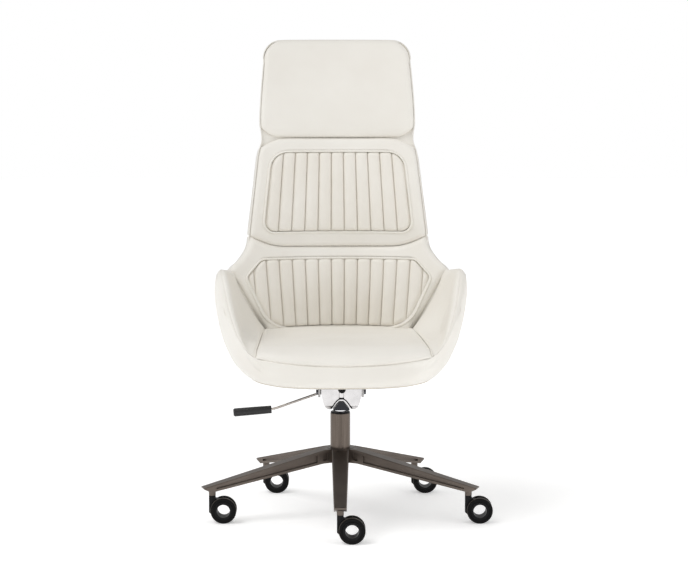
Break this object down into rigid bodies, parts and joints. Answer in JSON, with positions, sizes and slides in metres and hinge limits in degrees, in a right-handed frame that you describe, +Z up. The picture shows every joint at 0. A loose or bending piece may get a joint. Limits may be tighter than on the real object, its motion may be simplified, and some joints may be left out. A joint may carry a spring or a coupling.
{
  "type": "swivel office chair",
  "caption": "High-back upholstered swivel chair: bucket seat with wing armrests, channel-stitched back panels, headrest, gas lift, tilt mechanism and star base on open-centre casters.",
  "frame": {"origin": "on the floor at the axis of the gas column", "axes": "+Z up along the column, -Y the way the sitter faces, +X to the sitter's left"},
  "size_m": [0.72, 0.6822, 1.187],
  "materials": {
    "star_metal": "dark bronze satin die casting",
    "column_metal": "dark bronze brushed tube",
    "chrome_steel": "polished chrome",
    "housing_metal": "polished die casting",
    "spring_steel": "oiled spring steel",
    "plate_steel": "silver powder coat",
    "black_plastic": "fine-grained black nylon",
    "wheel_plastic": "black nylon wheel with a pale worn tread",
    "knob_plastic": "ribbed black plastic",
    "moulded_wood": "bent plywood",
    "lining": "black non-woven dust cover",
    "cream_cover": "cream grained leather over thin foam",
    "cream_cushion": "cream grained leather over foam",
    "cream_panel": "cream grained leather, channel stitched",
    "cream_piping": "cream leather piping"
  },
  "bodies": {
    "base": {"base_star": "star_metal", "column_tube": "column_metal", "column_bush": "black_plastic", "thrust_bearing": "chrome_steel", "caster_stems": "chrome_steel", "stem_sleeves": "black_plastic"},
    "piston": {"piston_rod": "chrome_steel", "rod_clip": "chrome_steel"},
    "lift": {"gas_cylinder": "chrome_steel", "mechanism_housing": "housing_metal", "tilt_shaft": "chrome_steel", "tilt_springs": "spring_steel", "lever_pivot_pin": "chrome_steel"},
    "valve": {"valve_pin": "chrome_steel"},
    "tension": {"tension_knob": "knob_plastic", "tension_screw": "chrome_steel"},
    "lever_pivot": {"lever_yoke": "black_plastic"},
    "lever": {"lever_rod": "chrome_steel", "lever_grip": "black_plastic"},
    "seat": {"seat_plate": "plate_steel", "seat_bolts": "chrome_steel", "pivot_bushes": "black_plastic", "bucket_frame": "moulded_wood", "back_frame": "moulded_wood", "bottom_panel": "lining", "front_apron": "cream_cover", "lower_rear_cover": "cream_cover", "outer_side_left": "cream_cover", "outer_side_right": "cream_cover", "back_cover": "cream_cover", "seat_cushion": "cream_cushion", "arm_pad_left": "cream_cushion", "arm_pad_right": "cream_cushion", "lower_back_cushion": "cream_cushion", "lower_back_panel": "cream_panel", "lower_back_piping": "cream_piping", "upper_back_cushion": "cream_cushion", "upper_back_panel": "cream_panel", "upper_back_piping": "cream_piping", "headrest_cushion": "cream_cushion"},
    "caster_front": {"caster_front_housing": "black_plastic", "caster_front_rings": "black_plastic"},
    "wheel_front_front": {"caster_front_wheel_front": "wheel_plastic"},
    "wheel_front_back": {"caster_front_wheel_back": "wheel_plastic"},
    "caster_left": {"caster_left_housing": "black_plastic", "caster_left_rings": "black_plastic"},
    "wheel_left_front": {"caster_left_wheel_front": "wheel_plastic"},
    "wheel_left_back": {"caster_left_wheel_back": "wheel_plastic"},
    "caster_rear_left": {"caster_rear_left_housing": "black_plastic", "caster_rear_left_rings": "black_plastic"},
    "wheel_rear_left_front": {"caster_rear_left_wheel_front": "wheel_plastic"},
    "wheel_rear_left_back": {"caster_rear_left_wheel_back": "wheel_plastic"},
    "caster_rear_right": {"caster_rear_right_housing": "black_plastic", "caster_rear_right_rings": "black_plastic"},
    "wheel_rear_right_front": {"caster_rear_right_wheel_front": "wheel_plastic"},
    "wheel_rear_right_back": {"caster_rear_right_wheel_back": "wheel_plastic"},
    "caster_right": {"caster_right_housing": "black_plastic", "caster_right_rings": "black_plastic"},
    "wheel_right_front": {"caster_right_wheel_front": "wheel_plastic"},
    "wheel_right_back": {"caster_right_wheel_back": "wheel_plastic"}
  },
  "joints": [
    {"name": "swivel", "type": "hinge", "parent": "base", "child": "piston", "pos_m": [0, 0, 0.2], "axis": [0, 0, 1], "continuous": true},
    {"name": "height", "type": "slide", "parent": "piston", "child": "lift", "axis": [0, 0, 1], "range_m": [0, 0.08]},
    {"name": "tilt", "type": "hinge", "parent": "lift", "child": "seat", "pos_m": [0, -0.05, 0.318], "axis": [-1, 0, 0], "range_deg": [0, 14], "stiffness_Nm_per_rad": 150, "springref_deg": -20.05},
    {"name": "tension_turn", "type": "hinge", "parent": "lift", "child": "tension", "pos_m": [0, -0.1, 0.334], "axis": [0, -1, 0], "range_deg": [0, 720]},
    {"name": "lever_lift", "type": "hinge", "parent": "lift", "child": "lever_pivot", "pos_m": [-0.038, 0, 0.317], "axis": [0, 1, 0], "range_deg": [0, 7], "stiffness_Nm_per_rad": 0.6, "springref_deg": -5.73},
    {"name": "lever_pull", "type": "slide", "parent": "lever_pivot", "child": "lever", "axis": [-1, 0, 0], "range_m": [0, 0.012]},
    {"name": "valve_press", "type": "slide", "parent": "lift", "child": "valve", "axis": [0, 0, -1], "range_m": [0, 0.0047]},
    {"name": "caster_front_swivel", "type": "hinge", "parent": "base", "child": "caster_front", "pos_m": [-0.0116, -0.3323, 0.05], "axis": [0, 0, 1], "continuous": true},
    {"name": "wheel_front_front_spin", "type": "hinge", "parent": "caster_front", "child": "wheel_front_front", "pos_m": [0.01638, -0.33327, 0.032], "axis": [0.0349, 0.9994, 0], "continuous": true},
    {"name": "wheel_front_back_spin", "type": "hinge", "parent": "caster_front", "child": "wheel_front_back", "pos_m": [0.01638, -0.33327, 0.032], "axis": [0.0349, 0.9994, 0], "continuous": true},
    {"name": "caster_left_swivel", "type": "hinge", "parent": "base", "child": "caster_left", "pos_m": [0.31245, -0.11372, 0.05], "axis": [0, 0, 1], "continuous": true},
    {"name": "wheel_left_front_spin", "type": "hinge", "parent": "caster_left", "child": "wheel_left_front", "pos_m": [0.34043, -0.1147, 0.032], "axis": [0.0349, 0.9994, 0], "continuous": true},
    {"name": "wheel_left_back_spin", "type": "hinge", "parent": "caster_left", "child": "wheel_left_back", "pos_m": [0.34043, -0.1147, 0.032], "axis": [0.0349, 0.9994, 0], "continuous": true},
    {"name": "caster_rear_left_swivel", "type": "hinge", "parent": "base", "child": "caster_rear_left", "pos_m": [0.20471, 0.26201, 0.05], "axis": [0, 0, 1], "continuous": true},
    {"name": "wheel_rear_left_front_spin", "type": "hinge", "parent": "caster_rear_left", "child": "wheel_rear_left_front", "pos_m": [0.23269, 0.26104, 0.032], "axis": [0.0349, 0.9994, 0], "continuous": true},
    {"name": "wheel_rear_left_back_spin", "type": "hinge", "parent": "caster_rear_left", "child": "wheel_rear_left_back", "pos_m": [0.23269, 0.26104, 0.032], "axis": [0.0349, 0.9994, 0], "continuous": true},
    {"name": "caster_rear_right_swivel", "type": "hinge", "parent": "base", "child": "caster_rear_right", "pos_m": [-0.18593, 0.27565, 0.05], "axis": [0, 0, 1], "continuous": true},
    {"name": "wheel_rear_right_front_spin", "type": "hinge", "parent": "caster_rear_right", "child": "wheel_rear_right_front", "pos_m": [-0.15795, 0.27468, 0.032], "axis": [0.0349, 0.9994, 0], "continuous": true},
    {"name": "wheel_rear_right_back_spin", "type": "hinge", "parent": "caster_rear_right", "child": "wheel_rear_right_back", "pos_m": [-0.15795, 0.27468, 0.032], "axis": [0.0349, 0.9994, 0], "continuous": true},
    {"name": "caster_right_swivel", "type": "hinge", "parent": "base", "child": "caster_right", "pos_m": [-0.31962, -0.09165, 0.05], "axis": [0, 0, 1], "continuous": true},
    {"name": "wheel_right_front_spin", "type": "hinge", "parent": "caster_right", "child": "wheel_right_front", "pos_m": [-0.29164, -0.09263, 0.032], "axis": [0.0349, 0.9994, 0], "continuous": true},
    {"name": "wheel_right_back_spin", "type": "hinge", "parent": "caster_right", "child": "wheel_right_back", "pos_m": [-0.29164, -0.09263, 0.032], "axis": [0.0349, 0.9994, 0], "continuous": true}
  ],
  "couplings": [
    {"joint": "valve_press", "follows": "lever_lift", "m_per_rad": 0.03683}
  ]
}
